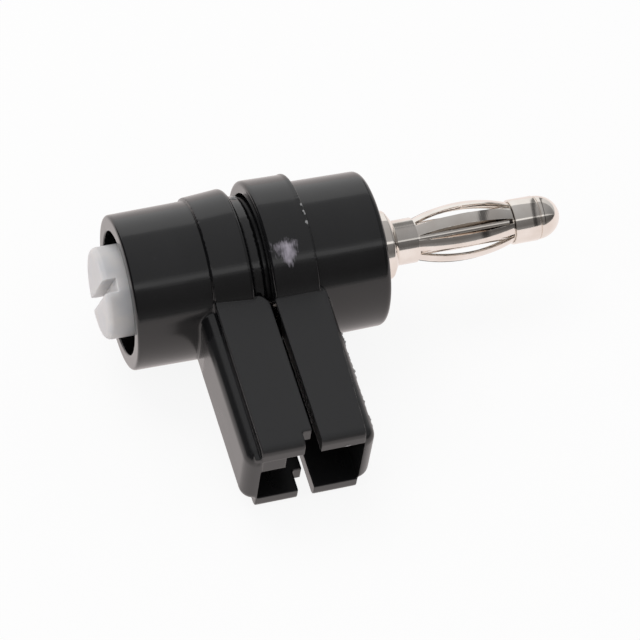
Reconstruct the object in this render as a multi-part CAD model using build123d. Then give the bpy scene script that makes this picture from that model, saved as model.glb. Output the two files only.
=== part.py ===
from build123d import *
from math import asin, atan2, degrees, hypot, pi, radians, tan
import os

# Side-entry 4 mm laboratory plug, in millimetres.
# The plug axis is X and the spring pin points to +X. The origin lies on the axis,
# in the face of the housing that the pin leaves. The two half sleeves for the cable
# run to -Y. At the end everything is turned about X into the pose it rests in.

# Housing tubes: walls and lengths
rear_tube_wall = 1.2
rear_band_rise = 0.3
rear_band_flare = 0.23
spigot_wall = 1.0
tongue_wall = 0.85
socket_clearance = 0.25
socket_rim_wall = 0.93
front_band_taper = 0.07
front_tube_step = 0.7
tube_draft_deg = 0.7
rear_tube_length = 6.03
rear_band_length = 3.15
spigot_length = 0.85
parting_gap = 0.47
front_band_length = 3.57
front_tube_length = 5.88
front_wall = 2.2
tongue_length = 1.27
socket_depth = 1.5
flash_height = 0.06
flash_width = 0.18
band_edge = 0.3
rear_rim_edge = 0.22
spigot_edge = 0.15
front_rim_edge = 0.35
rear_band_edge = 0.35

# Cable sleeves
arm_reach = 18.4
channel_height = 5.1
panel_wall = 1.32
shoulder_wall = 0.45
rear_channel_depth = 3.98
front_channel_depth = 3.43
rear_side_wall = 1.15
front_side_wall = 1.0
side_draft_deg = 0.35
rear_shoulder_width = 1.07
front_shoulder_width_end = 1.02
front_shoulder_width_root = 0.47
panel_corner_round = 0.9
panel_end_round = 0.5
panel_root_depth = 1.5
rear_root_fillet = 0.5
front_root_fillet = 0.4
block_width = 1.95
block_height = 1.55
block_depth = 5.0
notch_width = 0.73
notch_depth_top = 1.2
notch_depth_bottom = 1.8

# Housing screw of natural nylon, M4
screw_nominal_radius = 1.95
screw_clearance = 0.06
screw_head_overhang = 1.6
screw_head_rise = 1.9
screw_head_height = 5.0
screw_head_round = 0.45
screw_slot_width = 1.05
screw_slot_depth = 1.0
screw_slot_turn_deg = -67.0
screw_seat_thickness = 1.5

# Terminal body with the cross hole for the wire
terminal_wall = 2.29
terminal_clearance = 0.5
terminal_flat_depth = 0.9
terminal_seat_clearance = 0.05
terminal_seat_length = 2.25
terminal_end_gap = 1.0
wire_hole_radius = 1.3
wire_hole_from_parting = 0.5

# Contact pin, spring cage and tip
stem_radius = 1.5
stem_clearance = 0.1
stem_length = 6.2
core_radius = 1.3
flange_radius = 2.7
flange_length = 1.45
flange_chamfer = 0.45
flange_edge = 0.12
collar_wall = 0.17
collar_length = 1.7
collar_recess = 0.8
spring_thickness = 0.28
spring_clearance = 0.02
spring_bulge = 0.72
spring_span = 7.95
spring_slot_inset = 0.12
spring_slot_count = 8
spring_slot_first_deg = 31.0
spring_strip_width = 0.96
front_collar_length = 2.04
tip_groove_width = 0.12
tip_groove_depth = 0.14
tip_length = 2.0
tip_step = 0.07

# Derived radii, from the screw outwards
screw_head_radius = screw_nominal_radius + screw_head_overhang
screw_hole_radius = screw_nominal_radius + screw_clearance
terminal_radius = screw_hole_radius + terminal_wall
terminal_flat = terminal_radius - terminal_flat_depth
chamber_radius = terminal_radius + terminal_clearance
rear_tube_radius = chamber_radius + rear_tube_wall
rear_band_root_radius = rear_tube_radius + rear_band_rise
rear_band_radius = rear_band_root_radius + rear_band_flare
spigot_radius = chamber_radius + spigot_wall
tongue_radius = chamber_radius + tongue_wall
socket_radius = tongue_radius + socket_clearance
front_band_radius = socket_radius + socket_rim_wall
front_tube_radius = front_band_radius - front_tube_step
flash_radius = front_band_radius - front_band_taper + flash_height
spring_radius = core_radius + spring_thickness
recess_radius = spring_radius + spring_clearance
collar_radius = recess_radius + collar_wall

# Derived places along the axis, from the pin face to the rear
front_band_end = -front_tube_length
front_parting = front_band_end - front_band_length
rear_parting = front_parting - parting_gap
rear_band_end = rear_parting - spigot_length
rear_band_start = rear_band_end - rear_band_length
rear_face = rear_band_start - rear_tube_length
wall_inside = -front_wall
screw_seat = rear_face - screw_head_rise + screw_head_height
chamber_start = screw_seat + screw_seat_thickness
terminal_start = chamber_start + terminal_end_gap
wire_hole_x = front_parting + wire_hole_from_parting
screw_tip = wire_hole_x - wire_hole_radius + 0.2

# Derived places along the pin
collar_start = flange_length + flange_chamfer
collar_end = collar_start + collar_length
tip_start = collar_end + spring_span
groove_x = tip_start + front_collar_length
pin_end = groove_x + tip_length
core_end = pin_end - 1.0

# Derived sleeve sizes
channel_half = channel_height / 2
panel_top = channel_half + panel_wall
shoulder_top = channel_half + shoulder_wall
panel_root = rear_band_root_radius - panel_root_depth


def turned(points, rounds=(), bevels=()):
    """Turn an outline of (x, radius) points about the plug axis, easing named corners."""
    face = make_face(Polyline(*points, close=True))
    for place, radius in rounds:
        face = fillet(corner_at(face, place), radius)
    for place, size in bevels:
        face = chamfer(corner_at(face, place), size)
    return revolve(face, Axis.X)


def corner_at(face, place):
    """Corner of a flat outline that lies nearest to an (x, y) place."""
    return face.vertices().sort_by_distance((place[0], place[1], 0))[0]


def drum(start, end, radius):
    """Plain cylinder on the plug axis between two places."""
    return turned([(start, 0), (start, radius), (end, radius), (end, 0)])


def block(x_range, y_range, z_range):
    """Box given by its three spans, each as (low, high)."""
    size = [high - low for low, high in (x_range, y_range, z_range)]
    middle = [(high + low) / 2 for low, high in (x_range, y_range, z_range)]
    return Pos(*middle) * Box(*size)


def span(a, b):
    """Two places in rising order."""
    return (min(a, b), max(a, b))


def sleeve_core(parting, side, depth):
    """Lower step of one half sleeve, with its rounded shoulders and rounded end corner."""
    widen = arm_reach * tan(radians(side_draft_deg))
    end_x = parting + side * depth
    root_x = parting + side * (depth + widen)
    points = [(parting, -arm_reach), (end_x, -arm_reach), (root_x, 0), (parting, 0)]
    solid = extrude(make_face(Polyline(*points, close=True)), shoulder_top, both=True)
    middle_x = (end_x + root_x) / 2
    places = [
        (end_x, -arm_reach, 0),
        (middle_x, -arm_reach / 2, shoulder_top),
        (middle_x, -arm_reach / 2, -shoulder_top),
    ]
    edges = [solid.edges().sort_by_distance(place)[0] for place in places]
    wall = front_side_wall if side > 0 else rear_side_wall
    return fillet(edges, 0.93 * wall)


def sleeve_panel(parting, side, end_width, root_width, rounded_corner):
    """Raised panels on both faces of one half sleeve, rounded at the open end."""
    points = [
        (parting, -arm_reach),
        (parting + side * end_width, -arm_reach),
        (parting + side * root_width, -panel_root),
        (parting, -panel_root),
    ]
    face = make_face(Polyline(*points, close=True))
    corner = corner_at(face, points[rounded_corner])
    solid = extrude(fillet(corner, panel_corner_round), panel_top, both=True)
    middle_x = parting + side * end_width / 2
    places = [(middle_x, -arm_reach, panel_top), (middle_x, -arm_reach, -panel_top)]
    ends = [solid.edges().sort_by_distance(place)[0] for place in places]
    return fillet(ends, panel_end_round)


def eased_root(shell, side, depth, tube_radius):
    """Fillet along the arc where a sleeve's side face leaves the tube."""
    parting = front_parting if side > 0 else rear_parting
    root_x = parting + side * (depth + arm_reach * tan(radians(side_draft_deg)))
    arc_edge = shell.edges().sort_by_distance((root_x, -tube_radius, 0))[0]
    return fillet(arc_edge, front_root_fillet if side > 0 else rear_root_fillet)


def cable_channel(parting, side, depth):
    """Hollow of one half sleeve, from its open end to the plug axis."""
    return block(
        span(parting, parting + side * depth),
        (-arm_reach - 1, 0),
        (-channel_half, channel_half),
    )


def front_shell():
    """Front half of the housing: socket, chamber, pin wall and its half sleeve."""
    draft = front_tube_length * tan(radians(tube_draft_deg))
    end_radius = front_tube_radius - draft
    band_end_radius = front_band_radius - front_band_taper
    outline = [
        (front_parting, 0),
        (front_parting, front_band_radius),
        (front_band_end - 1.5 * flash_width, band_end_radius),
        (front_band_end - 1.2 * flash_width, flash_radius),
        (front_band_end - 0.2 * flash_width, flash_radius),
        (front_band_end, band_end_radius),
        (front_band_end, front_tube_radius),
        (0, end_radius),
        (0, 0),
    ]
    shell = turned(outline, bevels=[(outline[1], band_edge), (outline[7], front_rim_edge)])
    depth = front_channel_depth + front_side_wall
    shell += sleeve_core(front_parting, 1, depth)
    shell = eased_root(shell, 1, depth, front_tube_radius)
    shell += sleeve_panel(
        front_parting,
        1,
        depth - front_shoulder_width_end,
        depth - front_shoulder_width_root,
        2,
    )
    shell -= drum(front_parting, front_parting + socket_depth, socket_radius)
    shell -= drum(front_parting, wall_inside - terminal_seat_length, chamber_radius)
    shell -= terminal_bar(front_parting, wall_inside, terminal_seat_clearance)
    shell -= drum(wall_inside, 0, stem_radius + stem_clearance)
    shell -= cable_channel(front_parting, 1, front_channel_depth)
    return shell


def rear_shell():
    """Rear half of the housing: screw well, seat, chamber, tongue and its half sleeve."""
    draft = rear_tube_length * tan(radians(tube_draft_deg))
    outline = [
        (rear_face, 0),
        (rear_face, rear_tube_radius),
        (rear_band_start, rear_tube_radius + draft),
        (rear_band_start, rear_band_root_radius),
        (rear_band_end, rear_band_radius),
        (rear_band_end, spigot_radius),
        (rear_parting, spigot_radius),
        (rear_parting, 0),
    ]
    bevels = [(outline[1], rear_rim_edge), (outline[4], rear_band_edge), (outline[6], spigot_edge)]
    shell = turned(outline, bevels=bevels)
    depth = rear_channel_depth + rear_side_wall
    width = depth - rear_shoulder_width
    shell += sleeve_core(rear_parting, -1, depth)
    shell = eased_root(shell, -1, depth, rear_tube_radius)
    shell += sleeve_panel(rear_parting, -1, width, width, 3)
    shell += locating_tongue()
    shell -= drum(rear_face, screw_seat, chamber_radius)
    shell -= drum(screw_seat, chamber_start, screw_hole_radius)
    shell -= drum(chamber_start, front_parting + tongue_length, chamber_radius)
    shell -= cable_channel(rear_parting, -1, rear_channel_depth)
    shell -= parting_notches()
    shell += strain_block()
    return shell


def locating_tongue():
    """Open ring that centres the rear half in the socket of the front half."""
    ring = drum(rear_parting - spigot_length / 2, rear_parting + tongue_length, tongue_radius)
    opening = block((rear_face, 0), (-2 * tongue_radius, 0), (-shoulder_top, shoulder_top))
    return ring - opening


def parting_notches():
    """Cut-outs at the parting edge of the rear sleeve's open end, one in each panel wall."""
    x_range = (rear_parting - notch_width, rear_parting)
    top = block(x_range, (-arm_reach - 1, -arm_reach + notch_depth_top), (0, 2 * panel_top))
    low = block(x_range, (-arm_reach - 1, -arm_reach + notch_depth_bottom), (-2 * panel_top, 0))
    return top + low


def strain_block():
    """Block in the outer corner of the rear sleeve's mouth that narrows it on the cable."""
    start = rear_parting - rear_channel_depth
    return block(
        (start - rear_side_wall / 2, start + block_width),
        (-arm_reach + 0.05, -arm_reach + block_depth),
        (channel_half - block_height, channel_half + panel_wall / 2),
    )


def terminal_bar(start, end, grow):
    """Round bar with two flats, grown all round by a clearance for its pocket."""
    flat = terminal_flat + grow
    wide = 2 * chamber_radius
    bar = drum(start, end, terminal_radius + grow)
    return bar & block((start, end), (-wide, wide), (-flat, flat))


def terminal_body():
    """Turned terminal: wire cross hole, bore for the screw and bore for the pin's stem."""
    body = terminal_bar(terminal_start, wall_inside, 0)
    body -= drum(terminal_start, wire_hole_x + wire_hole_radius / 2, screw_hole_radius)
    body -= Pos(wire_hole_x, 0, 0) * Rot(X=90) * Cylinder(wire_hole_radius, 3 * terminal_radius)
    body -= drum(-stem_length, wall_inside, stem_radius)
    return body


def housing_screw():
    """Slotted nylon screw: round head, deep slot and plain shank with a chamfered tip."""
    head = rear_face - screw_head_rise
    outline = [
        (head, 0),
        (head, screw_head_radius),
        (screw_seat, screw_head_radius),
        (screw_seat, screw_nominal_radius),
        (screw_tip - 0.4, screw_nominal_radius),
        (screw_tip, screw_nominal_radius - 0.4),
        (screw_tip, 0),
    ]
    screw = turned(outline, [(outline[1], screw_head_round)])
    slot = Box(2 * screw_slot_depth, 3 * screw_head_radius, screw_slot_width)
    return screw - Pos(head, 0, 0) * Rot(X=screw_slot_turn_deg) * slot


def contact_pin():
    """Turned pin: stem, flange, chamfer, undercut collar and the core inside the spring."""
    outline = [
        (-stem_length, 0),
        (-stem_length, stem_radius),
        (0, stem_radius),
        (0, flange_radius),
        (flange_length, flange_radius),
        (collar_start, collar_radius + 0.1),
        (collar_start, collar_radius),
        (collar_end, collar_radius),
        (collar_end, recess_radius),
        (collar_end - collar_recess, recess_radius),
        (collar_end - collar_recess, core_radius),
        (core_end, core_radius),
        (core_end, 0),
    ]
    return turned(outline, bevels=[(outline[4], flange_edge)])


def tip_cap():
    """Front collar and domed tip in one, pressed on the end of the core."""
    dome_radius = collar_radius - tip_step
    groove = collar_radius - tip_groove_depth
    lines = Polyline(
        (core_end, 0),
        (core_end, core_radius),
        (tip_start + collar_recess, core_radius),
        (tip_start + collar_recess, recess_radius),
        (tip_start, recess_radius),
        (tip_start, collar_radius),
        (groove_x, collar_radius),
        (groove_x, groove),
        (groove_x + tip_groove_width, groove),
        (groove_x + tip_groove_width, dome_radius),
        (pin_end - 1.1 * dome_radius, dome_radius),
    )
    nose = EllipticalCenterArc(
        (pin_end - 1.1 * dome_radius, 0),
        1.1 * dome_radius,
        dome_radius,
        start_angle=0,
        arc_size=90,
    )
    back = Line((pin_end, 0), (core_end, 0))
    return revolve(make_face([lines, nose, back]), Axis.X)


def spring_section():
    """Cross section of the spring cage: two end rings joined by a bulged strip."""
    inner_start = collar_end - collar_recess
    inner_end = tip_start + collar_recess
    middle = (collar_end + tip_start) / 2
    top = spring_radius + spring_bulge
    thick = spring_thickness
    lines = [
        Line((inner_start, core_radius), (inner_start, spring_radius)),
        Line((inner_start, spring_radius), (collar_end, spring_radius)),
        ThreePointArc((collar_end, spring_radius), (middle, top), (tip_start, spring_radius)),
        Line((tip_start, spring_radius), (inner_end, spring_radius)),
        Line((inner_end, spring_radius), (inner_end, core_radius)),
        Line((inner_end, core_radius), (tip_start, core_radius)),
        ThreePointArc((tip_start, core_radius), (middle, top - thick), (collar_end, core_radius)),
        Line((collar_end, core_radius), (inner_start, core_radius)),
    ]
    return make_face(lines)


def spring_slot():
    """One slot of the cage, narrow at its ends and wide over the bulge."""
    start = collar_end + spring_slot_inset
    end = tip_start - spring_slot_inset
    middle = (start + end) / 2
    pitch = 2 * pi / spring_slot_count
    narrow = (pitch * spring_radius - spring_strip_width) / 2 + 0.03
    wide = (pitch * (spring_radius + spring_bulge) - spring_strip_width) / 2
    sides = [
        ThreePointArc((start, -narrow), (middle, -wide), (end, -narrow)),
        Line((end, -narrow), (end, narrow)),
        ThreePointArc((end, narrow), (middle, wide), (start, narrow)),
        Line((start, narrow), (start, -narrow)),
    ]
    outline = make_face(sides)
    return extrude(outline, 2 * spring_radius)


def lantern_spring():
    """Rolled spring cage of equal strips that bow out around the core."""
    cage = revolve(spring_section(), Axis.X)
    slot = spring_slot()
    for number in range(spring_slot_count):
        turn = spring_slot_first_deg + 360 / spring_slot_count * number
        cage -= Rot(X=turn) * slot
    return cage


def rest_turn_deg():
    """Turn about X that brings the proud lip of the band and the sleeve's end onto the table."""
    lip = max(front_band_radius, flash_radius)
    along = arm_reach - panel_end_round
    across = panel_top - panel_end_round
    rise = asin((lip - panel_end_round) / hypot(along, across))
    return degrees(rise - atan2(across, along))


pieces = {
    "front_shell": front_shell(),
    "rear_shell": rear_shell(),
    "terminal_body": terminal_body(),
    "contact_pin": contact_pin(),
    "lantern_spring": lantern_spring(),
    "tip_cap": tip_cap(),
    "housing_screw": housing_screw(),
}

os.makedirs("parts", exist_ok=True)
resting = Rot(X=rest_turn_deg())
for name, piece in pieces.items():
    placed = resting * piece
    placed.label = name
    export_step(placed, "parts/" + name + ".step")
    box = placed.bounding_box()
    print(name, len(placed.solids()), [round(v, 2) for v in (*box.min, *box.max)])
print("rest turn", round(rest_turn_deg(), 3))
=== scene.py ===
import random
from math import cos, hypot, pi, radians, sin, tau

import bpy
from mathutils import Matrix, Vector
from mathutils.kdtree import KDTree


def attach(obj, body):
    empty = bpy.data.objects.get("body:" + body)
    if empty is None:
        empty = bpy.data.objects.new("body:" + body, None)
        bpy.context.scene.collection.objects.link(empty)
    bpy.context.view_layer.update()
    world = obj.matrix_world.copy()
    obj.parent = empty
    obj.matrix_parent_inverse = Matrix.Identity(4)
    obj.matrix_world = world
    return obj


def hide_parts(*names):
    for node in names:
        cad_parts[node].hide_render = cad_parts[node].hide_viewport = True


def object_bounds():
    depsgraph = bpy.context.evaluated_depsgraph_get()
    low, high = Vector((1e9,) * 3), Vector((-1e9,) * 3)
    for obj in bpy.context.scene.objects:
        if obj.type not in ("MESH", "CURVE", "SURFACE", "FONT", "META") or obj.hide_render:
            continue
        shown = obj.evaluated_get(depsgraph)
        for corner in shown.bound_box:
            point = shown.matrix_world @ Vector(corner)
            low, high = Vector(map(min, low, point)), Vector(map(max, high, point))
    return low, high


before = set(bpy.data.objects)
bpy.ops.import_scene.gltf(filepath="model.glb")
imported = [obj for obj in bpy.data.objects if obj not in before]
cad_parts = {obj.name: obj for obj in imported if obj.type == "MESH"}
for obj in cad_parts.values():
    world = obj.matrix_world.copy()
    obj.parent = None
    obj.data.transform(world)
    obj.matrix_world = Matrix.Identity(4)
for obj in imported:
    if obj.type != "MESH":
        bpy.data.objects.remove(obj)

# %% [markdown]
# # A side-entry 4 mm plug, from frame to picture
# The plug is two black moulded shells that close on a cable like a clamp, a white nylon
# screw that draws them together, and a nickel pin with a sprung cage. The CAD frame
# gives each piece its place and its motion. Here every visible piece is modelled again
# with softer edges, mould marks and proper materials.
#
# We keep the frame's box first, because the dressed model must stay inside it.

cad_box = [list(corner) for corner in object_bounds()]
print("CAD box in metres:", cad_box)

# %% [markdown]
# ## The bench
# A plug is a small thing, so we work as on a bench that is ruled in millimetres: one
# Blender unit is one millimetre, X is the plug's axis and the sleeves run straight to -Y.
# When a piece is done it is shrunk to metres and turned about X into the pose it rests
# in. Its object then sits at the origin, unturned and unscaled, as the frame asks.

# %% Bench helpers
MM = 0.001
REST_TURN = radians(9.674)


def only(obj):
    """Leave just one object selected and active, in object mode."""
    if bpy.context.mode != "OBJECT":
        bpy.ops.object.mode_set(mode="OBJECT")
    bpy.ops.object.select_all(action="DESELECT")
    obj.select_set(True)
    bpy.context.view_layer.objects.active = obj


def pick(obj, kind, test):
    """In edit mode, select the vertices, edges or faces whose middle passes a test."""
    only(obj)
    bpy.ops.object.mode_set(mode="EDIT")
    bpy.ops.mesh.select_mode(type=kind)
    bpy.ops.mesh.select_all(action="DESELECT")
    bpy.ops.object.mode_set(mode="OBJECT")
    mesh = obj.data
    for part in {"VERT": mesh.vertices, "EDGE": mesh.edges, "FACE": mesh.polygons}[kind]:
        corners = [part.index] if kind == "VERT" else part.vertices
        middle = sum((mesh.vertices[i].co for i in corners), Vector()) / len(corners)
        part.select = bool(test(middle))
    bpy.ops.object.mode_set(mode="EDIT")


def leave_edit():
    """Go back to object mode."""
    bpy.ops.object.mode_set(mode="OBJECT")


def apply_modifier(obj, kind, **settings):
    """Add one modifier, set it up and apply it to the mesh."""
    only(obj)
    modifier = obj.modifiers.new("step", kind)
    for name, value in settings.items():
        setattr(modifier, name, value)
    bpy.ops.object.modifier_apply(modifier=modifier.name)


def combine(obj, other, operation):
    """Add or cut away another closed mesh, which is used up."""
    apply_modifier(obj, "BOOLEAN", operation=operation, solver="EXACT", object=other)
    bpy.data.objects.remove(other)


def bring_into_frame(obj, body, node):
    """Shrink a finished piece to metres, lay it in its rest pose and hand it to the frame."""
    only(obj)
    obj.scale = (MM, MM, MM)
    obj.rotation_euler = (REST_TURN, 0, 0)
    bpy.ops.object.transform_apply(location=True, rotation=True, scale=True)
    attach(obj, body)
    if node:
        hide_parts(node)
    triangles = sum(len(face.vertices) - 2 for face in obj.data.polygons)
    print(obj.name, "rides on", body, "with", triangles, "triangles")


# %% [markdown]
# ## Two ways to start a piece
# Most of a plug is turned work, so the first start is a lathe: one vertex is drawn along
# an outline with extrude, and the outline is spun about the X axis. The second start is
# a block for the straight sleeves. Both give clean closed meshes that later cuts and
# bevels can trust.

# %% Lathe and block
def turned(name, outline, steps=144):
    """Spin an outline of (x, radius) points about the plug's axis."""
    bpy.ops.object.select_all(action="DESELECT")
    bpy.ops.mesh.primitive_plane_add(size=1)
    obj = bpy.context.object
    obj.name = name
    bpy.ops.object.mode_set(mode="EDIT")
    bpy.ops.mesh.select_mode(type="VERT")
    bpy.ops.mesh.select_all(action="SELECT")
    bpy.ops.mesh.merge(type="CENTER")
    bpy.ops.transform.translate(value=(outline[0][0], 0, outline[0][1]))
    for (x0, r0), (x1, r1) in zip(outline, outline[1:]):
        step = (x1 - x0, 0, r1 - r0)
        bpy.ops.mesh.extrude_region_move(TRANSFORM_OT_translate={"value": step})
    bpy.ops.mesh.select_all(action="SELECT")
    bpy.ops.mesh.spin(steps=steps, angle=tau, center=(0, 0, 0), axis=(1, 0, 0))
    bpy.ops.mesh.select_all(action="SELECT")
    bpy.ops.mesh.remove_doubles(threshold=0.002)
    bpy.ops.mesh.normals_make_consistent(inside=False)
    leave_edit()
    return obj


def block(name, low, high):
    """Closed box between two corners."""
    bpy.ops.object.select_all(action="DESELECT")
    middle = [(a + b) / 2 for a, b in zip(low, high)]
    bpy.ops.mesh.primitive_cube_add(size=1, location=middle)
    obj = bpy.context.object
    obj.name = name
    obj.scale = [b - a for a, b in zip(low, high)]
    bpy.ops.object.transform_apply(location=True, rotation=True, scale=True)
    return obj


def arc(centre, radius, start, end, steps):
    """Points of an arc in the outline plane, angles in degrees from +X towards +radius."""
    angles = [radians(start + (end - start) * i / steps) for i in range(steps + 1)]
    return [(centre[0] + radius * cos(a), centre[1] + radius * sin(a)) for a in angles]


# %% [markdown]
# ## The sizes that the shells share
# These are the moulding's own sizes, measured from the frame: radii of the tubes and
# bands, the two parting faces with the slit between them, and the walls of the sleeve.

# %% Shared sizes of the shells
CHAMBER = 4.8
SHOULDER = 3.0
PANEL = 3.87
CHANNEL = 2.55
REACH = 18.4
FRONT_PARTING = -9.45
REAR_PARTING = -9.92
FRONT_BAND_END = -5.88
REAR_FACE = -19.95
REAR_BAND = (-13.92, -10.77)
print("slit between the shells:", round(FRONT_PARTING - REAR_PARTING, 2), "mm")

# %% [markdown]
# ## Half sleeves
# Each shell carries half of a square sleeve for the cable. On the real moulding it has
# two levels: a lower body with big soft shoulders, and a flat raised panel on each broad
# face. We build the levels as two blocks. The lower one gets a wide bevel on its outer
# end corner and then on the long edges that run round it; the raised one gets a rounded
# end and one rounded corner at its root, where the tool had to clear the band.

# %% Half sleeve
def half_sleeve(name, parting, side, end_depth, root_depth, end_step, root_step, round_by_slit):
    """Both levels of one half sleeve; side is +1 for the front shell and -1 for the rear."""
    far = parting + side * end_depth
    core = block(name, (min(parting, far), -REACH, -SHOULDER), (max(parting, far), 0, SHOULDER))
    pick(core, "VERT", lambda p: abs(p.x - far) < 0.01 and p.y > -1)
    bpy.ops.transform.translate(value=(side * (root_depth - end_depth), 0, 0))
    pick(core, "EDGE", lambda p: abs(p.x - far) < 0.01 and p.y < -REACH + 0.01 and abs(p.z) < 0.3)
    bpy.ops.mesh.bevel(offset=1.1, segments=8, profile=0.5, affect="EDGES")
    leave_edit()
    pick(
        core,
        "EDGE",
        lambda p: abs(p.x - far) < 1.1
        and abs(abs(p.z) - SHOULDER) < 0.01
        and -REACH + 0.003 < p.y < -2,
    )
    bpy.ops.mesh.bevel(offset=0.95, segments=7, profile=0.5, affect="EDGES")
    leave_edit()
    near = parting + side * (end_depth - end_step)
    spread = side * (root_depth - end_depth + end_step - root_step)
    panel = block("panel", (min(parting, near), -REACH, -PANEL), (max(parting, near), -4.85, PANEL))
    pick(panel, "VERT", lambda p: abs(p.x - near) < 0.01 and p.y > -6)
    bpy.ops.transform.translate(value=(spread, 0, 0))
    corner = parting if round_by_slit else near + spread
    leave_edit()
    pick(panel, "EDGE", lambda p: abs(p.x - corner) < 0.01 and p.y > -5 and abs(p.z) < 0.3)
    bpy.ops.mesh.bevel(offset=0.95, segments=6, profile=0.5, affect="EDGES")
    leave_edit()
    pick(panel, "EDGE", lambda p: p.y < -REACH + 0.01 and abs(abs(p.z) - PANEL) < 0.01)
    bpy.ops.mesh.bevel(offset=0.55, segments=5, profile=0.5, affect="EDGES")
    leave_edit()
    combine(core, panel, "UNION")
    return core


# %% [markdown]
# ## From sharp solid to moulding
# Moulded nylon has no sharp edge: every edge has the small radius of the tool, and every
# inner corner a fillet. Bevelling each edge by hand would take long, so we do what a
# sculptor does. The cut solid is remeshed into small even squares of about a twelfth of a
# millimetre, and three smoothing passes round all edges and corners by a square or two. A
# weak cloud displacement then gives the faces the slight sink and waviness of a real
# moulding, which is what breaks up its highlights. Crumbs of flash, where melt crept into
# the tool's joints, are tiny balls that the remesh melts onto the shell. Two notes are
# kept on the vertices for the material: which places are grained, and which are flash.

# %% Moulding finish
VOXEL = 0.08
random.seed(4)


def crumbs_along(places, low, high):
    """Seeded crumbs of flash, as (place, radius), one near each given place."""
    crumbs = []
    for place in places:
        stray = Vector([random.uniform(-0.05, 0.05) for _ in range(3)])
        crumbs.append((Vector(place) + stray, random.uniform(low, high)))
    return crumbs


def moulded(obj, seed_size, crumbs):
    """Melt crumbs on, remesh evenly, round all edges, and leave a trace of sink in the faces."""
    for place, radius in crumbs:
        bpy.ops.mesh.primitive_ico_sphere_add(subdivisions=1, radius=radius, location=place)
        crumb = bpy.context.object
        only(crumb)
        obj.select_set(True)
        bpy.context.view_layer.objects.active = obj
        bpy.ops.object.join()
    apply_modifier(obj, "REMESH", mode="VOXEL", voxel_size=VOXEL, adaptivity=0.0)
    apply_modifier(obj, "SMOOTH", factor=0.5, iterations=3)
    print(obj.name, "has", len(obj.data.polygons), "faces after the remesh")
    clouds = bpy.data.textures.new(obj.name + "_sink", "CLOUDS")
    clouds.noise_scale = seed_size
    clouds.noise_depth = 1
    push = {"strength": 0.01, "mid_level": 0.5, "texture_coords": "LOCAL"}
    apply_modifier(obj, "DISPLACE", texture=clouds, **push)
    apply_modifier(obj, "DECIMATE", ratio=min(1.0, 95000 / len(obj.data.polygons)))
    only(obj)
    bpy.ops.object.shade_smooth()
    grained = obj.data.attributes.new("grained", "FLOAT", "POINT")
    for vertex, note in zip(obj.data.vertices, grained.data):
        on_panel = vertex.co.y < -5.5 and PANEL - 0.2 < abs(vertex.co.z) < PANEL + 0.1
        note.value = 1.0 if on_panel else 0.4 if vertex.co.y < -7.2 else 0.0
    nearest = KDTree(len(crumbs))
    for number, (place, radius) in enumerate(crumbs):
        nearest.insert(place, number)
    nearest.balance()
    flash = obj.data.attributes.new("flash", "FLOAT", "POINT")
    for vertex, note in zip(obj.data.vertices, flash.data):
        place, number, distance = nearest.find(vertex.co)
        note.value = 1.0 if distance < crumbs[number][1] + 0.04 else 0.0


# %% [markdown]
# ## Front shell
# The front shell is the half that the pin sticks out of. Its band is the widest part of
# the plug and ends in a thin proud line, where the two halves of the tool met. We turn
# the outside, join the half sleeve, then cut the socket, the chamber, the pocket for the
# terminal, the hole for the stem and the cable channel. The proud line has a few crumbs
# of flash, and so have the panel's lip and the sleeve's outer edge, where it is ragged.

# %% Front shell
front = turned(
    "front_shell_moulding",
    [(FRONT_PARTING, 0), (FRONT_PARTING, 6.5)]
    + arc((FRONT_PARTING + 0.3, 6.53), 0.3, 180, 90, 4)
    + [(-6.16, 6.77), (-6.08, 6.83), (-5.93, 6.83)]
    + [(FRONT_BAND_END, 6.75), (FRONT_BAND_END, 6.13), (-0.45, 6.06)]
    + arc((-0.45, 5.61), 0.45, 80, 0, 5)
    + [(0, 0)],
)
sleeve = half_sleeve("sleeve", FRONT_PARTING, 1, 4.43, 4.54, 1.02, 0.47, False)
combine(front, sleeve, "UNION")
combine(front, turned("socket", [(-10, 0), (-10, 5.9), (-7.95, 5.9), (-7.95, 0)]), "DIFFERENCE")
chamber = turned("chamber", [(-8.5, 0), (-8.5, CHAMBER), (-4.45, CHAMBER), (-4.45, 0)])
combine(front, chamber, "DIFFERENCE")
pocket = turned("pocket", [(-5, 0), (-5, 4.35), (-2.2, 4.35), (-2.2, 0)])
combine(pocket, block("flats", (-6, -5, -3.45), (-2, 5, 3.45)), "INTERSECT")
combine(front, pocket, "DIFFERENCE")
combine(front, turned("stem_hole", [(-3, 0), (-3, 1.6), (1, 1.6), (1, 0)], 48), "DIFFERENCE")
combine(front, block("channel", (-10, -19.5, -CHANNEL), (-6.02, 0, CHANNEL)), "DIFFERENCE")
lip = [(-5.93, 6.83 * cos(radians(a)), 6.83 * sin(radians(a))) for a in (85.5, 91.3, 92.8, 99.0)]
mouth_lip = [(-7.26, -REACH, CHANNEL), (-7.42, -REACH, CHANNEL)]
ragged_edge = [(-4.98 - 0.004 * i, -8.6 - 0.27 * i, 2.3) for i in range(32)]
crumbs = crumbs_along(lip + mouth_lip, 0.07, 0.1) + crumbs_along(ragged_edge, 0.08, 0.15)
moulded(front, 2.6, crumbs)
print("front shell faces:", len(front.data.polygons))

# %% [markdown]
# ## Rear shell
# The rear shell holds the screw. Its tube is an open well, with the seat for the screw's
# head deep inside; that is why a dark ring shows round the white head. Its band flares a
# little towards the slit, and a plain spigot and a locating tongue follow. The tongue is
# open on the sleeve's side, where the wire comes in. Only this half has the notches at
# the slit and the block in the corner of the mouth. The small mark that the tool's gate
# leaves on the spigot is made of three crumbs.

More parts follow.
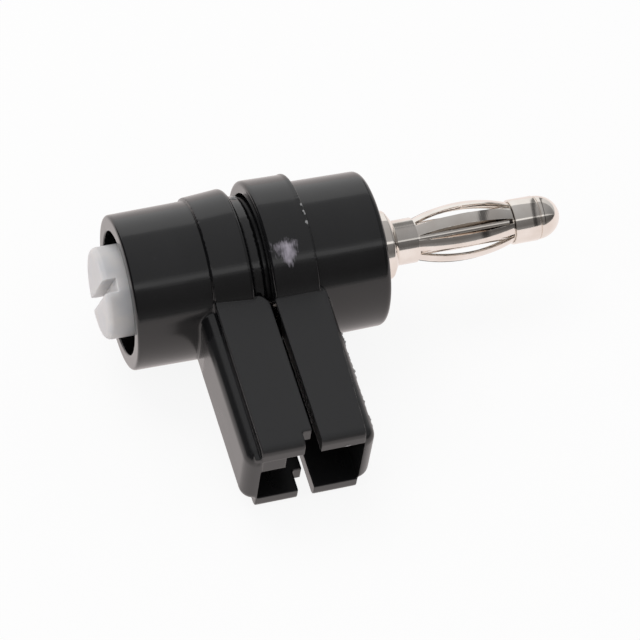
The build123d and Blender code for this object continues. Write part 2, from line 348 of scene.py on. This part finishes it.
# %% Rear shell
rear = turned(
    "rear_shell_moulding",
    [(REAR_FACE, 0), (REAR_FACE, 5.78)]
    + arc((REAR_FACE + 0.22, 5.78), 0.22, 180, 90, 3)
    + [(REAR_BAND[0], 6.07), (REAR_BAND[0], 6.3)]
    + arc((REAR_BAND[1] - 0.4, 6.12), 0.4, 88, 0, 5)
    + [(REAR_BAND[1], 5.8), (REAR_PARTING, 5.8), (REAR_PARTING, 5.65)]
    + [(-8.65, 5.65), (-8.65, 0)],
)
combine(rear, block("opening", (REAR_PARTING, -8, -2.62), (-8, 0, 2.0)), "DIFFERENCE")
sleeve = half_sleeve("sleeve", REAR_PARTING, -1, 5.13, 5.24, 1.07, 1.18, True)
combine(rear, sleeve, "UNION")
well = turned("well", [(-20.5, 0), (-20.5, CHAMBER), (-16.85, CHAMBER), (-16.85, 0)])
combine(rear, well, "DIFFERENCE")
hole = turned("screw_hole", [(-17, 0), (-17, 2.02), (-15, 2.02), (-15, 0)], 64)
combine(rear, hole, "DIFFERENCE")
chamber = turned("rear_chamber", [(-15.35, 0), (-15.35, CHAMBER), (-8, CHAMBER), (-8, 0)])
combine(rear, chamber, "DIFFERENCE")
combine(rear, block("channel", (-13.9, -19.5, -CHANNEL), (-9, 0, CHANNEL)), "DIFFERENCE")
combine(rear, block("notch_top", (-10.65, -19.5, 0), (-9, -17.2, 5)), "DIFFERENCE")
combine(rear, block("notch_low", (-10.65, -19.5, -5), (-9, -16.6, 0)), "DIFFERENCE")
combine(rear, block("corner_block", (-14.4, -18.3, 1.0), (-11.95, -13.4, 2.9)), "UNION")
gate_mark = [(-10.35 + 0.1 * i, 5.8 * cos(radians(50)), 5.8 * sin(radians(50))) for i in range(3)]
moulded(rear, 2.3, crumbs_along(gate_mark, 0.12, 0.2))
print("rear shell faces:", len(rear.data.polygons))

# %% [markdown]
# ## Nylon screw
# The screw is natural nylon, so that no metal can be touched from outside. It has a
# round head with a deep straight slot. In the photo the head sits a little above the
# middle of its well, so it is lifted off the shank's axis by a third of a millimetre.
# The head is turned, the slot is cut, and a bevel on every sharp edge gives the soft rim
# that moulded nylon has. The shank carries its thread as a row of turned ridges. The
# slope of a real one, three to four degrees, would hardly show between the shells.

# %% Nylon screw
HEAD_END = -21.6
HEAD_RISE = 0.35
thread = []
x = -16.3
while x < -10.7:
    thread += [(x, 1.62), (x + 0.26, 1.95), (x + 0.35, 1.95), (x + 0.61, 1.62)]
    x += 0.7
screw = turned(
    "nylon_screw",
    [(HEAD_END, 0), (HEAD_END, 3.1)]
    + arc((HEAD_END + 0.45, 3.1), 0.45, 180, 90, 6)
    + [(-16.97, 3.55), (-16.85, 3.43), (-16.85, 1.95), (-16.4, 1.95)]
    + thread
    + [(-10.4, 1.62), (-10.05, 1.4), (-10.05, 0)],
    112,
)
for vertex in screw.data.vertices:
    on_rim = vertex.co.x < -16.8 and hypot(vertex.co.y, vertex.co.z) > 2.5
    if on_rim or vertex.co.x < HEAD_END + 0.5:
        vertex.co.z += HEAD_RISE
slot = block("slot", (HEAD_END - 1, -5, -0.525), (HEAD_END + 1.0, 5, 0.525))
slot.rotation_euler = (radians(-67), 0, 0)
only(slot)
bpy.ops.object.transform_apply(location=False, rotation=True, scale=False)
combine(screw, slot, "DIFFERENCE")
apply_modifier(screw, "BEVEL", width=0.09, segments=3, limit_method="ANGLE", angle_limit=radians(50))
bpy.ops.object.shade_smooth_by_angle(angle=radians(35))

# %% [markdown]
# ## Contact pin and terminal
# The pin is turned from brass and plated with nickel. From the housing outwards it has a
# flange, a chamfer, a collar that grips the cage, and a thin core that runs inside the
# cage. The terminal is the round bar inside the shells; the wire goes through its cross
# hole. Both are lathe work with a fine bevel, which catches the light along each edge.

# %% Contact pin
pin = turned(
    "nickel_pin",
    [(-6.2, 0), (-6.2, 1.5), (0, 1.5), (0, 2.7), (1.33, 2.7), (1.45, 2.62), (1.9, 1.9), (1.9, 1.77)]
    + [(3.6, 1.77), (3.6, 1.6), (2.8, 1.6), (2.8, 1.3), (14.59, 1.3), (14.59, 0)],
    96,
)
apply_modifier(pin, "BEVEL", width=0.035, segments=2, limit_method="ANGLE", angle_limit=radians(25))
bpy.ops.object.shade_smooth_by_angle(angle=radians(40))

# %% Terminal bar with its cross hole
terminal = turned("terminal_bar", [(-14.35, 0), (-14.35, 4.3), (-2.2, 4.3), (-2.2, 0)], 112)
combine(terminal, block("flats", (-16, -5, -3.4), (-1, 5, 3.4)), "INTERSECT")
combine(terminal, turned("bore", [(-15, 0), (-15, 2.01), (-8.3, 2.01), (-8.3, 0)], 48), "DIFFERENCE")
cross = turned("cross", [(-7, 0), (-7, 1.3), (7, 1.3), (7, 0)], 48)
cross.rotation_euler = (0, 0, pi / 2)
cross.location = (-8.95, 0, 0)
only(cross)
bpy.ops.object.transform_apply(location=True, rotation=True, scale=False)
combine(terminal, cross, "DIFFERENCE")
combine(terminal, turned("stem_bore", [(-6.2, 0), (-6.2, 1.5), (-1, 1.5), (-1, 0)], 48), "DIFFERENCE")
apply_modifier(terminal, "BEVEL", width=0.1, segments=2, limit_method="ANGLE", angle_limit=radians(50))
bpy.ops.object.shade_smooth_by_angle(angle=radians(35))

# %% [markdown]
# ## Tip
# The tip is a short turned cap: a collar over the front ring of the cage, a narrow
# groove, and a dome that guides the pin into the socket.

# %% Tip
dome = [(15.59 - 1.89 + 1.89 * sin(a), 1.72 * cos(a)) for a in [radians(10 * i) for i in range(0, 9)]]
tip = turned(
    "pin_tip",
    [(14.59, 0), (14.59, 1.3), (12.35, 1.3), (12.35, 1.6), (11.55, 1.6), (11.55, 1.77)]
    + [(13.57, 1.77), (13.6, 1.63), (13.69, 1.63)]
    + dome
    + [(15.56, 0.12), (15.59, 0)],
    96,
)
apply_modifier(tip, "BEVEL", width=0.03, segments=2, limit_method="ANGLE", angle_limit=radians(40))
bpy.ops.object.shade_smooth_by_angle(angle=radians(40))

# %% [markdown]
# ## Lantern cage
# The cage is rolled from a stamped sheet: two end rings and eight strips of one width
# that bow out between them. Because the strips keep their width while the circle grows,
# the slots are narrow at the ends and wide at the bulge. The bowed sheet is turned as a
# whole, then a lens-shaped cutter opens each of the eight slots, and a bevel rounds the
# edges that stamping leaves.

# %% Lantern cage
CAGE_START, CAGE_END, BULGE, SHEET = 3.6, 11.55, 2.3, 0.28
RING_OUT = 1.58
half_span = (CAGE_END - CAGE_START) / 2
cage_middle = (CAGE_START + CAGE_END) / 2


def bow(x, low, high):
    """Radius of an arc through the two ring ends and the bulge."""
    rise = high - low
    radius = (half_span**2 + rise**2) / (2 * rise)
    return high - radius + (radius**2 - (x - cage_middle) ** 2) ** 0.5


stations = [CAGE_START + (CAGE_END - CAGE_START) * i / 32 for i in range(33)]
outer = [(x, bow(x, RING_OUT, BULGE)) for x in stations]
inner = [(x, bow(x, RING_OUT - SHEET, BULGE - SHEET)) for x in reversed(stations)]
cage = turned(
    "lantern_cage",
    [(2.8, 1.3), (2.8, RING_OUT)]
    + outer
    + [(12.35, RING_OUT), (12.35, 1.3)]
    + inner
    + [(2.8, 1.3)],
    192,
)
for number in range(8):
    cutter = block("cutter", (CAGE_START + 0.12, -0.2, 0.5), (CAGE_END - 0.12, 0.2, 4))
    only(cutter)
    bpy.ops.object.mode_set(mode="EDIT")
    bpy.ops.mesh.select_all(action="SELECT")
    bpy.ops.mesh.subdivide(number_cuts=15)
    leave_edit()
    for vertex in cutter.data.vertices:
        radius = bow(vertex.co.x, RING_OUT, BULGE)
        half_slot = (tau * radius / 8 - 0.96) / 2 + 0.02
        vertex.co.y = half_slot * (vertex.co.y / 0.2)
    cutter.rotation_euler = (radians(31 + 45 * number), 0, 0)
    bpy.ops.object.transform_apply(location=False, rotation=True, scale=False)
    combine(cage, cutter, "DIFFERENCE")
apply_modifier(cage, "BEVEL", width=0.035, segments=2, limit_method="ANGLE", angle_limit=radians(50))
bpy.ops.object.shade_smooth_by_angle(angle=radians(35))
print("cage faces:", len(cage.data.polygons))

# %% [markdown]
# ## Into the frame
# Each piece now goes to the body that carries it and stands for its CAD solid. The
# screw rides on its own body, because it turns while the rear shell only slides.

# %% Hand over to the frame
bring_into_frame(front, "front", "front_shell")
bring_into_frame(rear, "rear", "rear_shell")
bring_into_frame(screw, "screw", "housing_screw")
bring_into_frame(pin, "front", "contact_pin")
bring_into_frame(terminal, "front", "terminal_body")
bring_into_frame(tip, "front", "tip_cap")
bring_into_frame(cage, "front", "lantern_spring")

# %% [markdown]
# ## Colours and nodes
# Colours are written as sRGB hex, and one function turns them to the linear values the
# renderer mixes. Pattern sizes are written in millimetres: a pattern of one size in mm
# needs a scale of its inverse in metres. One more function adds any node, sets it up and
# links it, so that each line below reads as one step.

# %% Colour, scale and node helpers
def colour(code):
    """sRGB hex to linear RGBA."""
    parts = [int(code[i : i + 2], 16) / 255 for i in (1, 3, 5)]
    linear = [c / 12.92 if c <= 0.04045 else ((c + 0.055) / 1.055) ** 2.4 for c in parts]
    return (*linear, 1.0)


def per_mm(size):
    """Texture scale that gives features of a size in mm."""
    return 1 / (size * MM)


def fill_ramp(elements, stops):
    """Write (position, hex) stops into a colour ramp."""
    for element, (position, code) in zip((elements[0], elements[1]), (stops[0], stops[-1])):
        element.position = position
        element.color = colour(code)
    for position, code in stops[1:-1]:
        elements.new(position).color = colour(code)


def add(tree, kind, settings=None, links=None):
    """Add a node, set its sockets, properties or colour stops, and link its inputs."""
    node = tree.nodes.new(kind)
    for name, value in (settings or {}).items():
        if name == "stops":
            fill_ramp(node.color_ramp.elements, value)
        elif isinstance(name, int) or name in node.inputs:
            node.inputs[name].default_value = value
        else:
            setattr(node, name, value)
    for name, source in (links or {}).items():
        tree.links.new(source, node.inputs[name])
    return node


def new_material(name, **uniform):
    """Material with a fresh shader, its uniform values, and the object's own coordinates."""
    material = bpy.data.materials.new(name)
    material.use_nodes = True
    tree = material.node_tree
    tree.nodes.clear()
    settings = {key.replace("_", " "): value for key, value in uniform.items()}
    shader = add(tree, "ShaderNodeBsdfPrincipled", settings)
    add(tree, "ShaderNodeOutputMaterial", None, {"Surface": shader.outputs[0]})
    place = add(tree, "ShaderNodeTexCoord").outputs["Object"]
    return material, tree, shader, place


# %% [markdown]
# ## Black polyamide
# The shells are moulded in black nylon from a polished tool that has seen some use. To
# the eye the tubes are near black with a sharp gloss: a pale stripe along the top that
# ends in a clear line. The flat panels of the sleeve were left spark-grained by the tool,
# so they spread the light and look dark grey. The grained share of each place was noted
# on the mesh as the attribute "grained". Flow streaks of about 3 mm make the gloss
# slightly uneven, and dust specks of about 0.5 mm catch the light.

# %% Black polyamide
FLOW, FINE, DUST = 3, 0.22, 0.5
black, tree, shader, place = new_material("black_moulded_polyamide", IOR=1.58)
grained = add(tree, "ShaderNodeAttribute", {"attribute_name": "grained"}).outputs["Fac"]
flow = add(tree, "ShaderNodeMapping", {"Scale": (1, 0.35, 1)}, {"Vector": place})
broad = add(
    tree,
    "ShaderNodeTexNoise",
    {"Scale": per_mm(FLOW), "Detail": 3.0},
    {"Vector": flow.outputs["Vector"]},
).outputs["Fac"]
fine = add(
    tree, "ShaderNodeTexNoise", {"Scale": per_mm(FINE), "Detail": 4.0}, {"Vector": place}
).outputs["Fac"]
dust = add(
    tree,
    "ShaderNodeTexNoise",
    {"Scale": per_mm(DUST), "Detail": 6.0, "Roughness": 0.7},
    {"Vector": place},
).outputs["Fac"]
melt = add(
    tree,
    "ShaderNodeValToRGB",
    {"stops": [(0.3, "#0c0c0d"), (0.7, "#121213")]},
    {"Fac": broad},
).outputs["Color"]
specks = add(
    tree,
    "ShaderNodeValToRGB",
    {"stops": [(0.66, "#000000"), (0.8, "#ffffff")]},
    {"Fac": dust},
).outputs["Color"]
flats = add(
    tree,
    "ShaderNodeMix",
    {"data_type": "RGBA", "B": colour("#202021")},
    {"Factor": grained, "A": melt},
).outputs["Result"]
dusty = add(
    tree,
    "ShaderNodeMix",
    {"data_type": "RGBA", "B": colour("#2a2a2c")},
    {"Factor": specks, "A": flats},
).outputs["Result"]
print("black polyamide: specks of about", DUST, "mm, flow streaks of", FLOW, "mm")

# %% [markdown]
# The front band has one pale rubbed patch. It is drawn in skin coordinates, in metres:
# along the axis, and round the band measured from the side of the sleeves. The patch is
# wide at its upper edge and narrows downwards, and a noise that is stretched round the
# band breaks it into streaks, the way something hard dragged over it. Inside the patch
# the plastic is paler and rougher.

# %% Rubbed patch on the front band
PATCH_X, PATCH_LOW, PATCH_HIGH, GIRTH_RADIUS = -0.00802, 0.0048, 0.00748, 0.0068
HALF_WIDTH_LOW, HALF_WIDTH_HIGH = 0.0003, 0.00125
STREAK, BLOTCH = 0.16, 0.8
axes = add(tree, "ShaderNodeSeparateXYZ", None, {0: place}).outputs
to_sleeve = add(
    tree, "ShaderNodeMath", {"operation": "MULTIPLY", 1: -1.0}, {0: axes["Y"]}
).outputs[0]
turn = add(
    tree, "ShaderNodeMath", {"operation": "ARCTAN2"}, {0: axes["Z"], 1: to_sleeve}
).outputs[0]
girth = add(
    tree, "ShaderNodeMath", {"operation": "MULTIPLY", 1: GIRTH_RADIUS}, {0: turn}
).outputs[0]
skin = add(tree, "ShaderNodeCombineXYZ", None, {"X": axes["X"], "Y": girth}).outputs[0]
half_width = add(
    tree,
    "ShaderNodeMapRange",
    {
        "From Min": PATCH_LOW,
        "From Max": PATCH_HIGH,
        "To Min": HALF_WIDTH_LOW,
        "To Max": HALF_WIDTH_HIGH,
    },
    {"Value": girth},
).outputs["Result"]
aside = add(
    tree, "ShaderNodeMath", {"operation": "SUBTRACT", 1: PATCH_X}, {0: axes["X"]}
).outputs[0]
away = add(tree, "ShaderNodeMath", {"operation": "ABSOLUTE"}, {0: aside}).outputs[0]
share = add(
    tree, "ShaderNodeMath", {"operation": "DIVIDE"}, {0: away, 1: half_width}
).outputs[0]
inside = add(
    tree, "ShaderNodeMapRange", {"From Min": 1.5, "From Max": 0.1}, {"Value": share}
).outputs["Result"]
upper = add(
    tree,
    "ShaderNodeMapRange",
    {"From Min": PATCH_HIGH + 0.0003, "From Max": PATCH_HIGH - 0.0006},
    {"Value": girth},
).outputs["Result"]
lower = add(
    tree,
    "ShaderNodeMapRange",
    {"From Min": PATCH_LOW - 0.0001, "From Max": PATCH_LOW + 0.0012},
    {"Value": girth},
).outputs["Result"]
drag = add(tree, "ShaderNodeMapping", {"Scale": (1, 0.3, 1)}, {"Vector": skin})
grain = add(
    tree,
    "ShaderNodeTexNoise",
    {"Scale": per_mm(STREAK), "Detail": 5.0},
    {"Vector": drag.outputs["Vector"]},
).outputs["Fac"]
blotch = add(
    tree, "ShaderNodeTexNoise", {"Scale": per_mm(BLOTCH), "Detail": 3.0}, {"Vector": skin}
).outputs["Fac"]
broken = add(
    tree, "ShaderNodeMath", {"operation": "MULTIPLY_ADD", 1: 1.1}, {0: blotch, 2: grain}
).outputs[0]
edges = add(tree, "ShaderNodeMath", {"operation": "MULTIPLY"}, {0: upper, 1: lower}).outputs[0]
area = add(tree, "ShaderNodeMath", {"operation": "MULTIPLY"}, {0: edges, 1: inside}).outputs[0]
summed = add(tree, "ShaderNodeMath", {"operation": "ADD"}, {0: area, 1: broken}).outputs[0]
streaky = add(
    tree, "ShaderNodeMapRange", {"From Min": 1.4, "From Max": 2.1}, {"Value": summed}
).outputs["Result"]
soft_area = add(
    tree, "ShaderNodeMapRange", {"From Min": 0.0, "From Max": 0.3}, {"Value": area}
).outputs["Result"]
rubbed = add(
    tree, "ShaderNodeMath", {"operation": "MULTIPLY"}, {0: soft_area, 1: streaky}
).outputs[0]
scuffed = add(
    tree,
    "ShaderNodeMix",
    {"data_type": "RGBA", "B": colour("#a29ca6")},
    {"Factor": rubbed, "A": dusty},
).outputs["Result"]
print("rubbed patch is", round((PATCH_HIGH - PATCH_LOW) / MM, 2), "mm high")
print("its streaks are about", STREAK, "mm wide")

# %% [markdown]
# Last come the crumbs of flash, which are paler than the shell, and the surface itself:
# it is rougher where it is grained or rubbed, and a weak bump breaks up its gloss.

# %% Flash, gloss and bump
TUBE_ROUGH, GRAIN_ROUGH, RUBBED_ROUGH = (0.11, 0.2), 0.32, 0.4
flash = add(tree, "ShaderNodeAttribute", {"attribute_name": "flash"}).outputs["Fac"]
final = add(
    tree,
    "ShaderNodeMix",
    {"data_type": "RGBA", "B": colour("#8c8c8c")},
    {"Factor": flash, "A": scuffed},
).outputs["Result"]
gloss = add(
    tree,
    "ShaderNodeMapRange",
    {"To Min": TUBE_ROUGH[0], "To Max": TUBE_ROUGH[1]},
    {"Value": broad},
).outputs["Result"]
spread = add(
    tree,
    "ShaderNodeMath",
    {"operation": "MULTIPLY_ADD", 1: GRAIN_ROUGH},
    {0: grained, 2: gloss},
).outputs[0]
rough = add(
    tree,
    "ShaderNodeMath",
    {"operation": "MULTIPLY_ADD", 1: RUBBED_ROUGH},
    {0: rubbed, 2: spread},
).outputs[0]
bump = add(
    tree, "ShaderNodeBump", {"Strength": 0.1, "Distance": 0.00001}, {"Height": fine}
).outputs["Normal"]
for socket, source in (("Base Color", final), ("Roughness", rough), ("Normal", bump)):
    tree.links.new(source, shader.inputs[socket])
print("roughness of the tubes:", TUBE_ROUGH, "and added by the grain:", GRAIN_ROUGH)

# %% [markdown]
# ## White nylon
# Uncoloured nylon is milky: light goes in, scatters and comes out again nearby, so its
# shadows are soft and slightly cool. Subsurface scattering with a radius of about one
# millimetre gives that. The sheen is broad, and the surface has faint moulding marks.

# %% White nylon
nylon, tree, shader, place = new_material(
    "milky_uncoloured_nylon",
    IOR=1.53,
    Subsurface_Weight=0.8,
    Subsurface_Radius=(1.0, 0.95, 0.9),
    Subsurface_Scale=0.001,
)
cloudy = add(
    tree, "ShaderNodeTexNoise", {"Scale": per_mm(1.6), "Detail": 3.0}, {"Vector": place}
).outputs["Fac"]
marks = add(
    tree, "ShaderNodeTexNoise", {"Scale": per_mm(0.3), "Detail": 3.0}, {"Vector": place}
).outputs["Fac"]
tint = add(
    tree,
    "ShaderNodeValToRGB",
    {"stops": [(0.3, "#c6c6c8"), (0.7, "#d2cfcd")]},
    {"Fac": cloudy},
)
sheen = add(tree, "ShaderNodeMapRange", {"To Min": 0.28, "To Max": 0.42}, {"Value": cloudy})
bump = add(tree, "ShaderNodeBump", {"Strength": 0.15, "Distance": 0.00003}, {"Height": marks})
for socket, source in (("Base Color", tint), ("Roughness", sheen), ("Normal", bump)):
    tree.links.new(source.outputs[0], shader.inputs[socket])
print("nylon scatters over about 1 mm")

# %% [markdown]
# ## Nickel plate
# Nickel is a warm grey metal. On a turned part the plating keeps the fine rings of the
# lathe, so reflections stretch a little along the axis. The rings are a noise that
# changes fast along X and hardly at all round the pin; about 0.05 mm apart is real, and
# 0.09 mm is the finest that still shows.

# %% Nickel plate
RINGS = 0.09
nickel, tree, shader, place = new_material("nickel_plated_brass", Metallic=1.0)
rings = add(tree, "ShaderNodeMapping", {"Scale": (1, 0.04, 0.04)}, {"Vector": place})
lathe = add(
    tree,
    "ShaderNodeTexNoise",
    {"Scale": per_mm(RINGS), "Detail": 2.0},
    {"Vector": rings.outputs["Vector"]},
).outputs["Fac"]
stain = add(
    tree, "ShaderNodeTexNoise", {"Scale": per_mm(1.8), "Detail": 4.0}, {"Vector": place}
).outputs["Fac"]
plate = add(
    tree,
    "ShaderNodeValToRGB",
    {"stops": [(0.3, "#e2dad2"), (0.7, "#f0ebe5")]},
    {"Fac": stain},
)
polish = add(tree, "ShaderNodeMapRange", {"To Min": 0.05, "To Max": 0.13}, {"Value": stain})
bump = add(tree, "ShaderNodeBump", {"Strength": 0.12, "Distance": 0.00001}, {"Height": lathe})
for socket, source in (("Base Color", plate), ("Roughness", polish), ("Normal", bump)):
    tree.links.new(source.outputs[0], shader.inputs[socket])
print("lathe rings every", RINGS, "mm")

# %% Give each piece its finish
finishes = [(black, (front, rear)), (nylon, (screw,)), (nickel, (pin, terminal, tip, cage))]
for material, pieces in finishes:
    for piece in pieces:
        piece.data.materials.clear()
        piece.data.materials.append(material)
        print(piece.name, "is", material.name)

# %% [markdown]
# ## Table
# The photo is a plain product shot on white. The table is a sheet of card that takes a
# soft shadow. Where the camera or a reflection looks at it, most of it is replaced by
# plain white, so that only a trace of the shadow stays. In reflections it is faintly
# pink, like the rim of the screw's well in the photo. This white gives the plug no
# light.

# %% Table
TABLE_GAP = 0.00002
WHITE_SHARE = 0.9
bpy.ops.object.select_all(action="DESELECT")
bpy.ops.mesh.primitive_plane_add(size=2, location=(0, 0, cad_box[0][2] - TABLE_GAP))
table = bpy.context.object
table.name = "table"
paper = bpy.data.materials.new("white_card")
paper.use_nodes = True
paper.cycles.emission_sampling = "NONE"
tree = paper.node_tree
tree.nodes.clear()
path = add(tree, "ShaderNodeLightPath").outputs
mirrored = add(
    tree,
    "ShaderNodeMath",
    {"operation": "MAXIMUM"},
    {0: path["Is Glossy Ray"], 1: path["Is Transmission Ray"]},
).outputs[0]
seen = add(
    tree,
    "ShaderNodeMath",
    {"operation": "MAXIMUM"},
    {0: path["Is Camera Ray"], 1: mirrored},
).outputs[0]
amount = add(
    tree, "ShaderNodeMath", {"operation": "MULTIPLY", 1: WHITE_SHARE}, {0: seen}
).outputs[0]
blush = add(
    tree,
    "ShaderNodeMix",
    {"data_type": "RGBA", "A": colour("#ffffff"), "B": colour("#fff6f4")},
    {"Factor": path["Is Glossy Ray"]},
).outputs["Result"]
glow = add(tree, "ShaderNodeEmission", {"Strength": 1.0}, {"Color": blush}).outputs[0]
card = add(tree, "ShaderNodeBsdfDiffuse", {"Color": colour("#f2f1f0")}).outputs[0]
sheet = add(tree, "ShaderNodeMixShader", None, {0: amount, 1: card, 2: glow}).outputs[0]
add(tree, "ShaderNodeOutputMaterial", None, {"Surface": sheet})
table.data.materials.append(paper)
print("table lies at z =", round(table.location.z / MM, 2), "mm")

# %% [markdown]
# ## Room
# Gloss and nickel show the room, so the room must be right. Read off the nickel in the
# photo it is: a white sweep behind the plug up to 46 degrees, a grey ceiling, one thin
# bright strip near the camera, and a dim room in front and to the left. We draw it as
# a colour against the angle round the plug's axis, and dim it against the direction along
# the axis. Only reflections see this room. The camera sees white, and all else gets one
# soft even light.

# %% World
SWEEP_END = 0.253
world = bpy.data.worlds.new("studio")
bpy.context.scene.world = world
world.use_nodes = True
world.cycles.sampling_method = "NONE"
tree = world.node_tree
tree.nodes.clear()
path = add(tree, "ShaderNodeLightPath").outputs
ray = add(tree, "ShaderNodeTexCoord").outputs["Object"]
axes = add(tree, "ShaderNodeSeparateXYZ", None, {0: ray}).outputs
angle = add(
    tree, "ShaderNodeMath", {"operation": "ARCTAN2"}, {0: axes["Z"], 1: axes["Y"]}
).outputs[0]
over = add(
    tree, "ShaderNodeMapRange", {"From Min": 0.0, "From Max": pi}, {"Value": angle}
).outputs["Result"]
along = add(
    tree, "ShaderNodeMapRange", {"From Min": -1.0, "From Max": 1.0}, {"Value": axes["X"]}
).outputs["Result"]
sweep = [(0.0, "#ffffff"), (SWEEP_END, "#ffffff")]
ceiling = [(0.258, "#bfbfc0"), (0.69, "#a9a9aa")]
strip = [(0.7, "#ffffff"), (0.733, "#ffffff")]
near_side = [(0.741, "#7c7b7b"), (0.9, "#6d6b6a"), (1.0, "#8f8e8e")]
round_plug = add(
    tree, "ShaderNodeValToRGB", {"stops": sweep + ceiling + strip + near_side}, {"Fac": over}
).outputs["Color"]
dark_left = [(0.0, "#3c3c3c"), (0.24, "#3c3c3c")]
middle = [(0.3, "#ffffff"), (0.71, "#ffffff")]
dim_gap = [(0.725, "#858585"), (0.755, "#858585")]
right_end = [(0.775, "#e8e8e8"), (1.0, "#c0c0c0")]
along_plug = add(
    tree,
    "ShaderNodeValToRGB",
    {"stops": dark_left + middle + dim_gap + right_end},
    {"Fac": along},
).outputs["Color"]
room = add(
    tree,
    "ShaderNodeMix",
    {"data_type": "RGBA", "blend_type": "MULTIPLY", 0: 1.0},
    {"A": round_plug, "B": along_plug},
).outputs["Result"]
soft = add(tree, "ShaderNodeBackground", {"Color": colour("#f4f4f6"), "Strength": 0.6})
shown = add(tree, "ShaderNodeBackground", {"Strength": 1.0}, {"Color": room})
white = add(tree, "ShaderNodeBackground", {"Color": colour("#ffffff"), "Strength": 1.0})
lit = add(
    tree,
    "ShaderNodeMixShader",
    None,
    {0: path["Is Glossy Ray"], 1: soft.outputs[0], 2: shown.outputs[0]},
).outputs[0]
through = add(
    tree,
    "ShaderNodeMath",
    {"operation": "MAXIMUM"},
    {0: path["Is Camera Ray"], 1: path["Is Transmission Ray"]},
).outputs[0]
sky = add(
    tree, "ShaderNodeMixShader", None, {0: through, 1: lit, 2: white.outputs[0]}
).outputs[0]
add(tree, "ShaderNodeOutputWorld", None, {"Surface": sky})
print("room: white sweep up to", round(SWEEP_END * 180), "degrees behind the plug")


# %% [markdown]
# ## Lamps
# Three large soft boxes give the white parts their form: one above, one at the left that
# lights the screw's face, and a weak one at the right. Their own shapes are hidden from
# reflections, which see only the room.

# %% Lamps
def lamp(name, place, aim, size, power):
    """Soft square lamp at a place in mm, turned towards another."""
    data = bpy.data.lights.new(name, "AREA")
    data.size = size * MM
    data.energy = power
    obj = bpy.data.objects.new(name, data)
    bpy.context.scene.collection.objects.link(obj)
    obj.location = Vector(place) * MM
    obj.rotation_euler = (Vector(aim) - Vector(place)).to_track_quat("-Z", "Y").to_euler()
    obj.visible_glossy = False
    print(name, "gives", power, "W")
    return obj


lamp("soft_box_top", (-60, 120, 260), (-5, 0, 0), 200, 0.3)
lamp("soft_box_left", (-260, -60, 150), (-8, -4, 0), 160, 0.16)
lamp("soft_box_right", (240, -40, 120), (0, 0, 0), 120, 0.08)

# %% [markdown]
# ## Camera
# The camera looks down from the front left with a long lens. Its place, lens and slight
# tilt were fitted to the edges of the plug in the photo, so that shapes can be compared
# line by line.

# %% Camera
camera_data = bpy.data.cameras.new("camera")
camera_data.lens = 182.85
camera_data.sensor_width = 36
camera_data.clip_start = 0.01
camera_data.clip_end = 20
camera = bpy.data.objects.new("camera", camera_data)
bpy.context.scene.collection.objects.link(camera)
right = Vector((0.956024, -0.288907, 0.050500))
up = Vector((0.177810, 0.707882, 0.683583))
back = Vector((-0.233240, -0.644543, 0.728123))
stand = Matrix.Translation(Vector((-63.2685, -165.0002, 179.1493)) * MM)
camera.matrix_world = stand @ Matrix((right, up, back)).transposed().to_4x4()
bpy.context.scene.camera = camera
bpy.context.scene.view_settings.view_transform = "Standard"
